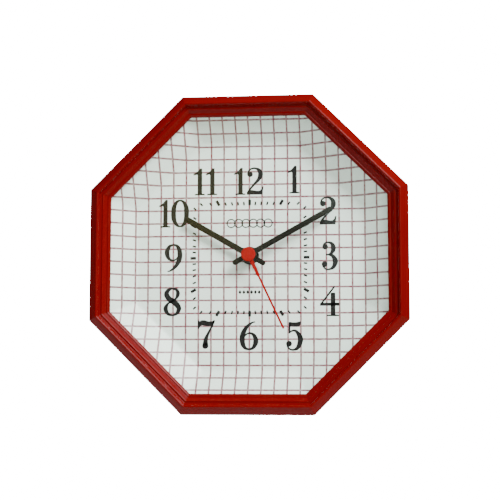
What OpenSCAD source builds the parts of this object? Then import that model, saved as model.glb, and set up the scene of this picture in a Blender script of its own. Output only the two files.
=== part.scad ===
// Octagonal wall clock with a moulded frame, a dished dial and a quartz movement.
// The frame is worked in millimetres: +Z is up, +X is right as the dial is read, and
// the dial faces -Y. The origin is on the hand axis, in the plane of the wall.
// A depth is always counted forward from the wall.

/* [Frame] */
// Width of the frame across its flats
across_flats = 245; // [220:1:300]
// Width of the frame band, from its outer edge to its inner lip
band_w = 16; // [15.5:0.1:20]
// Height of the lip in front of the lens
lip_rise = 2.3; // [1.5:0.1:4]
// Height of the outer edge in front of the lip
edge_rise = 0.6; // [0:0.1:4]
// Height of the outer ridge above the outer edge
ridge_rise = 6.4; // [4:0.1:9]
// Wall thickness of the frame moulding
frame_wall = 2.2; // [1.6:0.1:3]
// Draft of the frame's skirt, from its edge to the wall
skirt_draft = 0.9; // [0:0.1:1.2]
// Depth of the rear ring that stands on the wall
ring_depth = 24; // [10:0.5:30]
// Width of the lens seat that the lip hides
lip_cover = 6.5; // [5:0.1:7]

/* [Lens and dial] */
// Thickness of the clear lens
lens_t = 1.5; // [1:0.1:3]
// Thickness of the dial sheet
dial_t = 1; // [0.6:0.1:2]
// Slope of the dial's border
dish_slope = 39.2; // [30:0.1:50]
// Gap between the second hand's boss and the lens
hand_room = 2.1; // [1:0.1:6]
// Width of the dial's flat flange, under the lens
flange_w = 3.5; // [2:0.1:5]

/* [Clips] */
// Width of a retaining clip
clip_w = 12; // [8:0.5:20]
// Thickness of a retaining clip
clip_t = 0.8; // [0.5:0.1:1.2]
// Radius of a clip screw's shank
screw_r = 1.4; // [1:0.1:1.8]
// Radius of a clip screw's head
screw_head_r = 2.4; // [2:0.1:2.8]
// Length of a clip screw's shank
screw_l = 6.5; // [5:0.5:8]

/* [Hands] */
// Length of the hour hand
hour_l = 57.5; // [40:0.5:66]
// Width of the hour hand
hour_w = 4.6; // [3:0.1:6]
// Length of the minute hand
minute_l = 72.8; // [60:0.1:80]
// Width of the minute hand
minute_w = 4.2; // [3:0.1:6]
// Length of the second hand
second_l = 63.3; // [50:0.1:80]
// Width of the second hand's needle
needle_w = 1.3; // [0.8:0.1:2]
// Radius of the second hand's boss
boss_r = 5.6; // [4:0.05:7]
// Radius of the round middle of the hour and minute hands
hub_r = 5.8; // [4.5:0.1:7]
// Distance from the axis to the end of a hand's tail
tail_l = 14.2; // [10:0.1:18]
// Width of a hand's tail
tail_w = 3.9; // [2.5:0.1:5]
// Thickness of the hour and minute hands
hand_t = 0.6; // [0.4:0.1:1]
// Hour hand's angle, clockwise from twelve
hour_angle = 300; // [0:1:360]
// Minute hand's angle, clockwise from twelve
minute_angle = 61.2; // [0:0.1:360]
// Second hand's angle, clockwise from twelve
second_angle = 154.7; // [0:0.1:360]

/* [Movement] */
// Radius kept free around the hand axis for the gear train
train_room = 10.3; // [10.1:0.1:14]
// Spare depth of the case over its cell
cell_room = 2.5; // [2.5:0.1:6]
// Gap between the wall and the case's back
case_gap = 1; // [0.5:0.1:3]
// Wall thickness of the case
case_wall = 1.2; // [1:0.1:1.6]
// Outer radius of the threaded bush
bush_r = 4; // [3.3:0.1:4.8]
// Width of the hexagon nut across its flats
nut_flats = 11; // [10.5:0.5:14]
// Radius of the cell
cell_r = 7.25; // [7:0.05:9]
// Length of the cell without its positive cap
cell_l = 49.2; // [42:0.1:60]
// Radius of the setting knob
knob_r = 5.2; // [4:0.1:6.3]

/* [Hanger] */
// Width of the hanger bracket
hanger_w = 22; // [18:1:30]
// Thickness of the hanger bracket
hanger_t = 0.8; // [0.6:0.1:1.2]
// Radius of the hanging hole
hang_hole_r = 3.5; // [2.5:0.1:5]
// Height of the hanging hole above the bracket's bend
hang_rise = 14; // [12:1:30]
// Depth of the hanging tab's back in front of the wall
hang_tab_depth = 4; // [2:0.5:8]

/* [Clearances] */
// Radial clearance of a running shaft
run_clear = 0.05; // [0.02:0.01:0.09]
// Clearance of the lens and dial in the frame
seat_clear = 0.4; // [0.2:0.1:1]
// Clearance of a part that drops into a recess
drop_clear = 0.25; // [0.1:0.05:0.5]

/* [Hidden] */

$fn = 64;
octagon = 8;
half_sector = 180 / octagon;
eps = 0.01;

// The case's inside, which holds the cell below the gear train
contact_t = 0.4;
cell_cap_r = 2.75;
cell_cap_l = 1.3;
rib_t = 1;
cell_gap = 0.5;
inner_half = max(
    train_room + rib_t + 2 * (cell_r + cell_gap),
    (cell_l + cell_cap_l) / 2 + contact_t + 0.9
);
case_half = inner_half + case_wall;
case_depth = 2 * cell_r + cell_room;

// Depths of the front stack, from the case forward
case_back = case_gap;
case_front = case_back + case_depth;
rubber_t = 0.8;
washer_t = 0.5;
nut_t = 2.5;
dial_back = case_front + hanger_t + rubber_t;
dial_front = dial_back + dial_t;
washer_front = dial_front + washer_t;
nut_front = washer_front + nut_t;
bush_front = nut_front + 1.6;
hour_depth = bush_front + 1.3;
minute_depth = hour_depth + hand_t + 2.4;
second_depth = minute_depth + hand_t + 2.4;
second_t = 0.4;
boss_t = 2;
arbor_front = second_depth + second_t + 1;
boss_front = second_depth + boss_t;

// The dial's border, the lens and the frame's seat
rim_front = boss_front + hand_room;
dish_rise = rim_front - dial_front;
rim_back = rim_front - dial_t;
lens_front = rim_front + lens_t;
outer_apothem = across_flats / 2;
lip_apothem = outer_apothem - band_w;
seat_apothem = lip_apothem + lip_cover;
lens_apothem = seat_apothem - seat_clear;
rib_apothem = seat_apothem + frame_wall;
dish_apothem = lens_apothem - flange_w;
crease_apothem = dish_apothem - dish_rise / tan(dish_slope);
sheet_shift = dial_t * tan(dish_slope / 2);

// The frame's section: each place is an inset from the outer edge and a depth
lip_depth = lens_front + lip_rise;
edge_depth = lip_depth + edge_rise;
ridge_inset = 6.6;
step_inset = lerp(ridge_inset, band_w, 0.25);
second_ridge_inset = lerp(ridge_inset, band_w, 0.41);
bead_inset = band_w - 1.5;
ridge_depth = edge_depth + ridge_rise;
step_depth = lerp(ridge_depth, lip_depth, 0.55);
bead_depth = lip_depth + 0.5;

// The skirt's faces at a depth
function skirt_outside(depth) = outer_apothem - skirt_draft * (1 - depth / (edge_depth - 0.8));
function skirt_inside(depth) = lerp(
    outer_apothem - skirt_draft - frame_wall,
    outer_apothem - frame_wall - 0.3,
    depth / (edge_depth - 0.4 * frame_wall)
);
tongue_l = 3;
tongue_t = 1;

// The clips and their screws
skirt_apothem = outer_apothem - skirt_draft - frame_wall;
boss_apothem = (rib_apothem + skirt_apothem) / 2;
screw_boss_r = 2.4;
clip_inner = dish_apothem + sheet_shift + 0.2;
clip_outer = skirt_apothem - 0.2;
clip_places = [0, 90, 180, 270];

// Height of each layer of the movement
wall_front = case_back + case_wall;
front_wall_back = case_front - case_wall;
plate_t = 1;
pivot_end = wall_front + 0.1;
pivot_boss_front = wall_front + 0.7;
magnet_back = wall_front + 1.2;
magnet_t = 2.4;
stator_back = wall_front + 1.4;
stator_t = 2;
seconds_back = wall_front + 3.6;
wheel_t = 0.8;
third_back = seconds_back + 1.2;
centre_back = third_back + 1.4;
plate_back = centre_back + 1.2;
plate_front = plate_back + plate_t;
motion_back = plate_front + 0.5;
hour_wheel_back = motion_back + 1.5;
case_split = plate_back;

// Tooth counts and modules; each pair shares a module
rotor_teeth = 8;
intermediate_teeth = 48;
intermediate_pinion_teeth = 12;
seconds_teeth = 60;
seconds_pinion_teeth = 8;
third_teeth = 60;
third_pinion_teeth = 8;
centre_teeth = 64;
cannon_teeth = 12;
motion_teeth = 36;
motion_pinion_teeth = 10;
hour_teeth = 40;
setting_teeth = 20;
step_module = 0.25;
third_distance = 10.8;
third_module = 2 * third_distance / (seconds_pinion_teeth + third_teeth);
centre_module = 2 * third_distance / (third_pinion_teeth + centre_teeth);
motion_distance = 9;
cannon_module = 2 * motion_distance / (cannon_teeth + motion_teeth);
hour_module = 2 * motion_distance / (motion_pinion_teeth + hour_teeth);

// Directions of the arbors from their mates, and the arbors' places
third_dir = 20;
intermediate_dir = 150;
motion_dir = 80;
setting_dir = 100;
rotor_dir = 150;
step_distance = step_module * (intermediate_pinion_teeth + seconds_teeth) / 2;
rotor_distance = step_module * (rotor_teeth + intermediate_teeth) / 2;
setting_distance = cannon_module * (motion_teeth + setting_teeth) / 2;
third_at = polar(third_distance, third_dir);
intermediate_at = polar(step_distance, intermediate_dir);
rotor_at = intermediate_at + polar(rotor_distance, rotor_dir);
motion_at = polar(motion_distance, motion_dir);
setting_at = motion_at + polar(setting_distance, setting_dir);

// Height of the hanger bracket's bend, just above the case
bend_z = case_half + 1;

// Shafts
arbor_r = 0.5;
pivot_r = 0.4;
minute_pipe_r = 1.6;
hour_pipe_r = 2.55;
setting_arbor_r = 1;
second_tube_r = 1.4;
post_r = 0.6;

// What the case holds
case_corner_r = 2;
inner_corner_r = 0.5;
cell_z = -(inner_half - cell_r - cell_gap);
cell_depth = case_back + case_depth / 2 - 0.3;
rib_z = cell_z + cell_r + cell_gap;
contact_x = cell_l / 2 + cell_cap_l / 2 + 0.05;
rib_gap = inner_half - contact_x + 0.7;
post_radius = 1.6;
post_left = -(inner_half - 2.8);
post_right = contact_x - 2.8;
post_high = inner_half - 2.8;
post_low = rib_z + rib_t + 3;
posts = [
    [post_left, post_high],
    [post_right, post_high],
    [post_left + 3, post_low],
    [post_right, post_low]
];
recess_r = knob_r + 1.2;
recess_front = case_back + 3;
knob_back = case_back - 0.2;
knob_front = recess_front - 0.4;
board_low = [recess_r + case_wall + setting_at[0] + 1, 10];
board_high = [post_right - 2.5, inner_half - 0.8];
board_back = wall_front + 0.4;
board_t = 1;
coil_x = rotor_at[0] - 9.3;
coil_low = -1;
coil_high = 17;
leg_w = 2;
stator_low = -5;
stator_high = 21;
stator_right = rotor_at[0] + 4.2;
stator_leg_left = rotor_at[0] - 4.2;

function lerp(a, b, t) = a + (b - a) * t;
function polar(r, a) = [r * cos(a), r * sin(a)];
function corner(apothem) = apothem / cos(half_sector);

// Angle by which a tooth of a wheel lies short of the direction of its second mate
function tooth_lag(dir, phase, teeth) =
    let (pitch = 360 / teeth, turn = (dir - phase) / pitch)
    (turn - floor(turn)) * pitch;

// Extrudes a front view forward, from a depth
module forward(depth, thickness) {
    translate([0, -depth, 0]) rotate([90, 0, 0]) linear_extrude(thickness) children();
}

// A rod that points forward, from a depth
module rod(at, depth, length, r) {
    translate([at[0], -depth, at[1]]) rotate([90, 0, 0]) cylinder(h = length, r = r);
}

// A ring, as a rod with a bore
module tube(at, depth, length, r, bore) {
    difference() {
        rod(at, depth, length, r);
        rod(at, depth - 1, length + 2, bore);
    }
}

module octagon_plate(apothem) {
    rotate(half_sector) circle(r = corner(apothem), $fn = octagon);
}

module rounded_box(w, h, r) {
    square([w - 2 * r, h], center = true);
    square([w, h - 2 * r], center = true);
    for (x = [-1, 1], y = [-1, 1]) translate([x * (w / 2 - r), y * (h / 2 - r)]) circle(r = r);
}

// Turns a section of [apothem, depth] points into eight sides that meet in mitres
module mitred_ring(section) {
    count = len(section);
    points = [
        for (k = [0 : octagon - 1])
            for (p = section)
                let (a = (k + 0.5) * 360 / octagon)
                [corner(p[0]) * cos(a), -p[1], corner(p[0]) * sin(a)]
    ];
    faces = [
        for (k = [0 : octagon - 1])
            for (i = [0 : count - 1])
                let (n = (k + 1) % octagon, j = (i + 1) % count)
                [k * count + i, k * count + j, n * count + j, n * count + i]
    ];
    polyhedron(points, faces);
}

// A toothed wheel's outline with straight-sided teeth; one tooth points along the phase
module toothed(teeth, size, phase) {
    pitch = 360 / teeth;
    pitch_r = size * teeth / 2;
    tip_r = pitch_r + 0.8 * size;
    root_r = pitch_r - 1.05 * size;
    points = [
        for (i = [0 : teeth - 1])
            for (p = [[root_r, -0.27], [tip_r, -0.1], [tip_r, 0.1], [root_r, 0.27]])
                polar(p[0], phase + pitch * (i + p[1]))
    ];
    polygon(points);
}

module wheel(at, depth, thickness, teeth, size, phase) {
    translate([at[0], 0, at[1]]) forward(depth, thickness) toothed(teeth, size, phase);
}

// ---- Frame, lens and dial ----

module front_frame() {
    outer = outer_apothem;
    outside = [
        [skirt_outside(ring_depth), ring_depth],
        [outer, edge_depth - 0.8],
        [outer - 0.4, edge_depth],
        [outer - ridge_inset + 0.5, ridge_depth - 0.3],
        [outer - ridge_inset, ridge_depth],
        [outer - ridge_inset - 0.6, ridge_depth - 0.1],
        [outer - ridge_inset - 1, ridge_depth - 0.6],
        [outer - step_inset + 0.3, step_depth + 0.5],
        [outer - step_inset - 0.2, step_depth],
        [outer - second_ridge_inset + 0.5, step_depth + 0.1],
        [outer - second_ridge_inset, step_depth + 0.4],
        [outer - second_ridge_inset - 0.6, step_depth],
        [outer - bead_inset + 0.9, bead_depth],
        [outer - bead_inset + 0.3, bead_depth + 0.2],
        [outer - bead_inset - 0.4, bead_depth],
        [lip_apothem, lip_depth - 0.8]
    ];
    inside = [
        [lip_apothem, lens_front],
        [seat_apothem, lens_front],
        [seat_apothem, rim_back],
        [rib_apothem, rim_back],
        [rib_apothem, step_depth - frame_wall],
        [outer - ridge_inset - 0.3, ridge_depth - 1.35 * frame_wall],
        [outer - frame_wall - 0.3, edge_depth - 0.4 * frame_wall],
        [skirt_inside(ring_depth), ring_depth]
    ];
    color("#a30406") difference() {
        union() {
            mitred_ring(concat(outside, inside));
            for (a = clip_places)
                rod(polar(boss_apothem, a), rim_back + 0.3, screw_l + 0.3, screw_boss_r);
        }
        for (a = clip_places) rod(polar(boss_apothem, a), rim_back - 1, screw_l + 1, screw_r);
    }
}

module rear_ring() {
    tongue_front = ring_depth + tongue_l;
    tongue_outside = skirt_inside(ring_depth) - run_clear;
    trim = 0.5;
    section = [
        [skirt_outside(-trim), -trim],
        [skirt_outside(ring_depth), ring_depth],
        [tongue_outside, ring_depth],
        [tongue_outside, tongue_front],
        [tongue_outside - tongue_t, tongue_front],
        [tongue_outside - tongue_t, ring_depth - tongue_t],
        [skirt_inside(-trim), -trim]
    ];
    color("#9c0406") difference() {
        mitred_ring(section);
        forward(-2 * trim, 2 * trim) octagon_plate(outer_apothem + 1);
    }
}

module lens() {
    color([0.9, 0.95, 0.95, 0.3]) forward(rim_front, lens_t) octagon_plate(lens_apothem);
}

module dial() {
    inner = crease_apothem - 2;
    border = [
        [inner, dial_back],
        [crease_apothem + sheet_shift, dial_back],
        [dish_apothem + sheet_shift, rim_back],
        [lens_apothem, rim_back],
        [lens_apothem, rim_front],
        [dish_apothem, rim_front],
        [crease_apothem, dial_front],
        [inner, dial_front]
    ];
    color("#dfe4df") difference() {
        union() {
            mitred_ring(border);
            forward(dial_back, dial_t) octagon_plate(inner + eps);
        }
        rod([0, 0], dial_back - 1, dial_t + 2, bush_r + 0.1);
    }
}

module retaining_clips() {
    color("silver") for (a = clip_places) rotate([0, -a, 0]) difference() {
        translate([clip_inner, -rim_back, -clip_w / 2]) cube([clip_outer - clip_inner, clip_t, clip_w]);
        rod([boss_apothem, 0], rim_back - clip_t - 1, clip_t + 2, screw_r);
    }
}

module clip_screws() {
    color("gainsboro") for (a = clip_places) difference() {
        union() {
            rod(polar(boss_apothem, a), rim_back - clip_t, clip_t + screw_l, screw_r);
            rod(polar(boss_apothem, a), rim_back - clip_t - 1.6, 1.6, screw_head_r);
        }
        translate([boss_apothem * cos(a), 0, boss_apothem * sin(a)])
            forward(rim_back - clip_t - 2, 1.2) square([3.2, 0.7], center = true);
        translate([boss_apothem * cos(a), 0, boss_apothem * sin(a)])
            forward(rim_back - clip_t - 2, 1.2) square([0.7, 3.2], center = true);
    }
}

// ---- Fixing of the movement ----

module hanger_bracket() {
    hang_hole_z = bend_z + hang_rise;
    color("silver") difference() {
        union() {
            forward(case_front, hanger_t) {
                circle(r = hanger_w / 2);
                translate([-hanger_w / 2, 0]) square([hanger_w, bend_z + hanger_t]);
            }
            translate([0, 0, bend_z]) forward(hang_tab_depth, case_front + hanger_t - hang_tab_depth)
                translate([-hanger_w / 2, 0]) square([hanger_w, hanger_t]);
            forward(hang_tab_depth, hanger_t) {
                translate([-hanger_w / 2, bend_z]) square([hanger_w, hang_hole_z - bend_z]);
                translate([0, hang_hole_z]) circle(r = hanger_w / 2);
            }
        }
        rod([0, 0], case_front - 1, hanger_t + 2, bush_r + 0.1);
        rod([0, hang_hole_z], hang_tab_depth - 1, hanger_t + 2, hang_hole_r);
    }
}

module rubber_washer() {
    color("#202020") tube([0, 0], case_front + hanger_t, rubber_t, 9, bush_r + 0.1);
}

module flat_washer() {
    color("#1b1b1d") tube([0, 0], dial_front, washer_t, 7, bush_r + 0.1);
}

module hex_nut() {
    color("#1b1b1d") difference() {
        forward(washer_front, nut_t) circle(r = nut_flats / 2 / cos(30), $fn = 6);
        rod([0, 0], washer_front - 1, nut_t + 2, bush_r);
    }
}

// ---- Movement case ----

module case_posts(depth, length) {
    for (p = posts) rod(p, depth, length, post_radius);
}

module cell_rib(depth, length) {
    width = 2 * (inner_half - rib_gap);
    forward(depth, length) translate([-width / 2, rib_z]) square([width, rib_t]);
}

module movement_rear_case() {
    color("#18181a") difference() {
        union() {
            difference() {
                forward(case_back, case_split - case_back)
                    rounded_box(2 * case_half, 2 * case_half, case_corner_r);
                forward(wall_front, case_depth)
                    rounded_box(2 * inner_half, 2 * inner_half, inner_corner_r);
            }
            cell_rib(case_back, case_split - case_back);
            case_posts(case_back, case_split - case_back);
            rod(setting_at, case_back, recess_front + case_wall - case_back, recess_r + case_wall);
            for (p = [[0, 0], third_at, rotor_at])
                rod(p, case_back, pivot_boss_front - case_back, 1.6);
            rod(intermediate_at, case_back, seconds_back - 0.5 - case_back, 1.4);
            rod(intermediate_at, case_back, centre_back - 0.4 - case_back, post_r);
        }
        forward(case_back - 1, case_wall + 1 + eps)
            translate([-cell_l / 2 - 1.2, cell_z - cell_r + 0.3])
                square([cell_l + 2.4, 2 * cell_r - 0.6]);
        rod(setting_at, case_back - 1, recess_front - case_back + 1, recess_r);
        rod(setting_at, case_back, case_depth, setting_arbor_r + run_clear);
        rod([0, 0], pivot_end - 0.2, case_depth, arbor_r + run_clear);
        for (p = [third_at, rotor_at]) rod(p, pivot_end - 0.2, case_depth, pivot_r + run_clear);
    }
}

module movement_front_case() {
    depth = case_front - case_split;
    color("#1c1c1e") difference() {
        union() {
            difference() {
                forward(case_split, depth)
                    rounded_box(2 * case_half, 2 * case_half, case_corner_r);
                forward(case_split - 1, depth + 1 - case_wall)
                    rounded_box(2 * inner_half, 2 * inner_half, inner_corner_r);
            }
            cell_rib(case_split, depth);
            case_posts(plate_front, case_front - plate_front);
            rod([0, 0], front_wall_back, bush_front - front_wall_back, bush_r);
        }
        rod([0, 0], case_split - 1, bush_front - case_split + 2, hour_pipe_r + run_clear);
        rod(motion_at, case_split, case_front - 0.5 - case_split, pivot_r + run_clear);
    }
}

module middle_plate() {
    width = 2 * (inner_half - drop_clear);
    low = rib_z + rib_t + drop_clear;
    high = inner_half - drop_clear;
    color("#e9e6da") difference() {
        forward(plate_back, plate_t) translate([-width / 2, low]) square([width, high - low]);
        rod([0, 0], plate_back - 1, plate_t + 2, minute_pipe_r + run_clear);
        rod(setting_at, plate_back - 1, plate_t + 2, setting_arbor_r + run_clear);
        for (p = [third_at, rotor_at, motion_at])
            rod(p, plate_back - 1, plate_t + 2, pivot_r + run_clear);
    }
}

// ---- Cell and circuit ----

module battery() {
    color("#3d4a52") translate([-cell_l / 2 - cell_cap_l / 2, -cell_depth, cell_z]) rotate([0, 90, 0]) {
        difference() {
            cylinder(h = cell_l, r = cell_r);
            translate([0, 0, -1]) cylinder(h = 1.3, r = cell_r - 1.4);
        }
        translate([0, 0, cell_l - eps]) cylinder(h = cell_cap_l + eps, r = cell_cap_r);
    }
}

module contact_blade(x) {
    translate([x, -cell_depth - 4.5, cell_z - 4]) cube([contact_t, 9, 8]);
}

module positive_contact() {
    tab = board_back + board_t;
    color("#d8d2c0") {
        contact_blade(contact_x);
        translate([contact_x, -tab - 2, cell_z]) cube([contact_t, 2, board_low[1] + 4 - cell_z]);
        translate([board_high[0] - 3, -tab - contact_t, board_low[1] + 2])
            cube([contact_x + contact_t - board_high[0] + 3, contact_t, 2]);
        translate([contact_x, -cell_depth - 1, cell_z]) cube([contact_t, cell_depth + 1 - tab, 2]);
    }
}

module negative_contact() {
    run_z = rib_z + rib_t + 0.5;
    tab = board_back + board_t;
    left = -contact_x - contact_t;
    rise_x = board_high[0] - 6;
    color("#d8d2c0") {
        contact_blade(left);
        translate([left, -cell_depth - 1, cell_z]) cube([contact_t, cell_depth + 1 - tab, 2]);
        translate([left, -tab - 2, cell_z]) cube([contact_t, 2, run_z + contact_t - cell_z]);
        translate([left, -tab - 2, run_z]) cube([rise_x - left, 2, contact_t]);
        translate([rise_x - contact_t, -tab - contact_t, run_z])
            cube([2, contact_t, board_low[1] + 1.5 - run_z]);
    }
}

module circuit_board() {
    size = board_high - board_low;
    color("#1f6b3a") forward(board_back, board_t) translate(board_low) square(size);
}

module controller_chip() {
    color("#101010") rod([board_low[0] + 3.4, board_high[1] - 3.6], board_back + board_t, 0.9, 2.4);
}

module quartz_crystal() {
    color("#c9ccd0") translate([board_high[0] - 1.6, -board_back - board_t - 1, board_high[1] - 8.5])
        cylinder(h = 6.5, r = 1);
}

// ---- Stepping motor ----

module coil_box(x_half, depth_half, low, high) {
    depth = stator_back + stator_t / 2;
    translate([coil_x - x_half, -depth - depth_half, low]) cube([2 * x_half, 2 * depth_half, high - low]);
}

module coil_bobbin() {
    hole = leg_w / 2 + 0.1;
    tube_half = hole + 0.5;
    color("#e8e3d0") difference() {
        union() {
            coil_box(tube_half, tube_half, coil_low, coil_high);
            coil_box(3.2, 2.3, coil_low - 1, coil_low);
            coil_box(3.2, 2.3, coil_high, coil_high + 1);
        }
        coil_box(hole, hole, coil_low - 2, coil_high + 2);
    }
}

module coil_winding() {
    tube_half = leg_w / 2 + 0.6;
    color("#b5652a") difference() {
        coil_box(2.9, 2.2, coil_low, coil_high);
        coil_box(tube_half, tube_half, coil_low - 1, coil_high + 1);
    }
}

module stator() {
    arm_h = 3;
    leg_left = coil_x - leg_w / 2;
    color("#8d9196") difference() {
        forward(stator_back, stator_t) {
            translate([leg_left, stator_low]) square([leg_w, stator_high - stator_low]);
            translate([leg_left, stator_low]) square([stator_right - leg_left, arm_h]);
            translate([leg_left, stator_high - arm_h]) square([stator_right - leg_left, arm_h]);
            translate([stator_leg_left, stator_low])
                square([stator_right - stator_leg_left, stator_high - stator_low]);
        }
        rod(rotor_at, stator_back - 1, stator_t + 2, 3.5);
    }
}

module rotor_magnet() {
    color("#55585c") tube(rotor_at, magnet_back, magnet_t, 3, arbor_r);
}

module rotor_pinion() {
    phase = rotor_dir + 180;
    color("#d9b15a") {
        rod(rotor_at, pivot_end, plate_back + 0.7 - pivot_end, pivot_r);
        rod(rotor_at, pivot_boss_front + 0.1, plate_back - 0.2 - pivot_boss_front, arbor_r);
        wheel(rotor_at, third_back, 1.1, rotor_teeth, step_module, phase);
    }
}

// ---- Gear train ----

module intermediate_wheel() {
    wheel_phase = rotor_dir + 180 / intermediate_teeth;
    pinion_phase = intermediate_dir + 180;
    color("#e6e2d2") difference() {
        union() {
            wheel(intermediate_at, seconds_back - 0.1, 1.4, intermediate_pinion_teeth, step_module,
                pinion_phase);
            wheel(intermediate_at, third_back + 0.1, 0.7, intermediate_teeth, step_module, wheel_phase);
        }
        rod(intermediate_at, seconds_back - 2, 8, post_r + run_clear);
    }
}

module seconds_arbor() {
    color("#b9bcc0") rod([0, 0], pivot_end, arbor_front - pivot_end, arbor_r);
}

module seconds_wheel() {
    wheel_phase = intermediate_dir + 180 / seconds_teeth;
    pinion_phase = third_dir;
    color("#e6e2d2") difference() {
        union() {
            wheel([0, 0], seconds_back, wheel_t, seconds_teeth, step_module, wheel_phase);
            wheel([0, 0], seconds_back + eps, 2.3, seconds_pinion_teeth, third_module, pinion_phase);
        }
        rod([0, 0], seconds_back - 1, 8, arbor_r);
    }
}

module third_wheel() {
    wheel_phase = third_dir + 180 + 180 / third_teeth;
    pinion_phase = third_dir + 180;
    color("#e6e2d2") {
        rod(third_at, pivot_end, plate_back + 0.7 - pivot_end, pivot_r);
        rod(third_at, pivot_boss_front + 0.1, plate_back - 0.2 - pivot_boss_front, 0.8);
        wheel(third_at, third_back + 0.1, wheel_t, third_teeth, third_module, wheel_phase);
        wheel(third_at, third_back + 0.5, 2.0, third_pinion_teeth, centre_module, pinion_phase);
    }
}

module centre_wheel() {
    phase = third_dir + 180 / centre_teeth;
    color("#e6e2d2") difference() {
        wheel([0, 0], centre_back, wheel_t, centre_teeth, centre_module, phase);
        rod([0, 0], centre_back - 1, 4, minute_pipe_r + run_clear);
    }
}

module cannon_pinion() {
    pipe_back = centre_back - 0.1;
    color("#d9b15a") difference() {
        union() {
            rod([0, 0], pipe_back, minute_depth + hand_t + 0.3 - pipe_back, minute_pipe_r);
            wheel([0, 0], plate_front + 0.3, 1.4, cannon_teeth, cannon_module, motion_dir);
        }
        rod([0, 0], pipe_back - 1, minute_depth, arbor_r + run_clear);
    }
}

module motion_wheel() {
    wheel_phase = motion_dir + 180 + 180 / motion_teeth;
    pinion_phase = motion_dir + 180;
    color("#e6e2d2") {
        rod(motion_at, plate_front - 0.7, front_wall_back + 0.5 - plate_front + 0.7, pivot_r);
        rod(motion_at, plate_front + 0.1, front_wall_back - 0.2 - plate_front, 0.9);
        wheel(motion_at, motion_back, wheel_t, motion_teeth, cannon_module, wheel_phase);
        wheel(motion_at, motion_back + 0.5, 2.3, motion_pinion_teeth, hour_module, pinion_phase);
    }
}

module hour_wheel() {
    phase = motion_dir + 180 / hour_teeth;
    color("#d9b15a") difference() {
        union() {
            wheel([0, 0], hour_wheel_back, wheel_t, hour_teeth, hour_module, phase);
            rod([0, 0], hour_wheel_back, hour_depth + hand_t + 0.3 - hour_wheel_back, hour_pipe_r);
        }
        rod([0, 0], hour_wheel_back - 1, hour_depth, minute_pipe_r + run_clear);
    }
}

module setting_wheel() {
    motion_phase = motion_dir + 180 + 180 / motion_teeth;
    lag = tooth_lag(setting_dir, motion_phase, motion_teeth);
    phase = setting_dir + 180 + lag * motion_teeth / setting_teeth + 180 / setting_teeth;
    color("#e6e2d2") {
        rod(setting_at, knob_front, motion_back + 1.6 - knob_front, setting_arbor_r);
        wheel(setting_at, motion_back, wheel_t, setting_teeth, cannon_module, phase);
    }
}

module setting_knob() {
    notches = 16;
    color("#232326") difference() {
        rod(setting_at, knob_back, knob_front - knob_back, knob_r);
        for (i = [0 : notches - 1])
            rod(setting_at + polar(knob_r + 0.25, i * 360 / notches), knob_back - 1, 6, 0.6);
        rod(setting_at, knob_back - 1, 1.6, knob_r - 1.6);
    }
}

// ---- Hands ----

module baton(length, width) {
    circle(r = hub_r);
    translate([-width / 2, 0]) square([width, length]);
    translate([-tail_w / 2, -tail_l + tail_w / 2]) square([tail_w, tail_l - tail_w / 2]);
    translate([0, -tail_l + tail_w / 2]) circle(r = tail_w / 2);
}

module hour_hand() {
    color("#0c0c0c") difference() {
        union() {
            forward(hour_depth, hand_t) rotate(-hour_angle) baton(hour_l, hour_w);
            rod([0, 0], hour_depth - 0.8, 1, hour_pipe_r + 0.8);
        }
        rod([0, 0], hour_depth - 2, hand_t + 4, hour_pipe_r);
    }
}

module minute_hand() {
    color("#0c0c0c") difference() {
        union() {
            forward(minute_depth, hand_t) rotate(-minute_angle) baton(minute_l, minute_w);
            rod([0, 0], minute_depth - 1.2, 1.4, minute_pipe_r + 0.8);
        }
        rod([0, 0], minute_depth - 2, hand_t + 4, minute_pipe_r);
    }
}

module second_hand() {
    stem_l = 18;
    root_w = 3;
    end_w = 2.3;
    blade = [
        [-root_w / 2, 0],
        [root_w / 2, 0],
        [end_w / 2, stem_l],
        [needle_w / 2, stem_l + 1],
        [needle_w / 2, second_l],
        [-needle_w / 2, second_l],
        [-needle_w / 2, stem_l + 1],
        [-end_w / 2, stem_l]
    ];
    color("#c00808") difference() {
        forward(second_depth, second_t) rotate(-second_angle) {
            circle(r = boss_r - 0.2);
            polygon(blade);
        }
        rod([0, 0], second_depth - 1, second_t + 2, second_tube_r);
    }
}

module second_hand_boss() {
    color("#c00808") difference() {
        union() {
            rod([0, 0], second_depth + second_t, boss_t - second_t, boss_r);
            rod([0, 0], second_depth - 1, boss_t, second_tube_r);
        }
        rod([0, 0], second_depth - 2, arbor_front - second_depth + 2, arbor_r);
    }
}

front_frame();
rear_ring();
lens();
dial();
retaining_clips();
clip_screws();
hanger_bracket();
rubber_washer();
flat_washer();
hex_nut();
movement_rear_case();
movement_front_case();
middle_plate();
battery();
positive_contact();
negative_contact();
circuit_board();
quartz_crystal();
controller_chip();
coil_bobbin();
coil_winding();
stator();
rotor_magnet();
rotor_pinion();
intermediate_wheel();
seconds_wheel();
seconds_arbor();
third_wheel();
centre_wheel();
cannon_pinion();
motion_wheel();
hour_wheel();
setting_wheel();
setting_knob();
hour_hand();
minute_hand();
second_hand();
second_hand_boss();
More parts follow.
